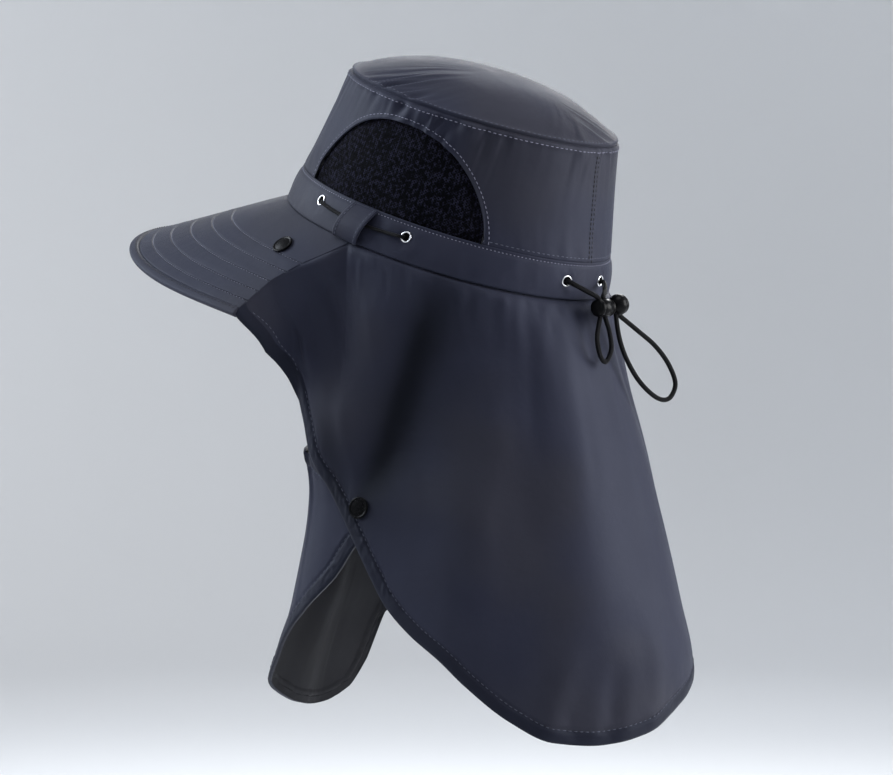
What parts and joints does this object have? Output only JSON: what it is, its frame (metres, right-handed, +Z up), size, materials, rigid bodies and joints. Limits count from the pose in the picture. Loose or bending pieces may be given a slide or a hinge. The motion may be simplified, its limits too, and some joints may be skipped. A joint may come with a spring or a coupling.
{
  "type": "flap sun hat",
  "caption": "Sun hat with a domed crown, net side vents, a drooping visor and a long neck flap closed with a snap under the chin.",
  "frame": {"origin": "centre of the head opening, at the band's lower edge", "axes": "+Z up as worn, the hat faces -Y, +X to the wearer's left; the crown leans back 18 degrees from +Z"},
  "size_m": [0.2566, 0.3604, 0.3844],
  "materials": {
    "cloth": "fine plain weave polyester with a soft sheen",
    "net": "knitted net",
    "binding": "plain woven tape",
    "eyelet": "bright",
    "snap": "glossy black",
    "cord": "braided elastic",
    "plastic": "satin black"
  },
  "bodies": {
    "root": {"crown_top": "cloth", "crown_wall": "cloth", "mesh_left": "net", "mesh_right": "net", "band": "cloth", "visor": "cloth", "visor_binding": "binding", "neck_flap": "cloth", "belt_loop_left": "cloth", "belt_loop_right": "cloth", "side_cord_left": "cord", "side_cord_right": "cord", "eyelet_front_left": "eyelet", "eyelet_front_right": "eyelet", "eyelet_rear_left": "eyelet", "eyelet_rear_right": "eyelet", "eyelet_back_left": "eyelet", "eyelet_back_right": "eyelet", "visor_snap_left": "snap", "visor_snap_right": "snap", "flap_snap": "snap", "flap_stud": "snap", "free_stud": "snap", "cord_lock": "plastic", "cord_ball": "plastic", "drawcord_left": "cord", "drawcord_right": "cord", "drawcord_small_loop": "cord", "drawcord_large_loop": "cord"}
  },
  "joints": []
}
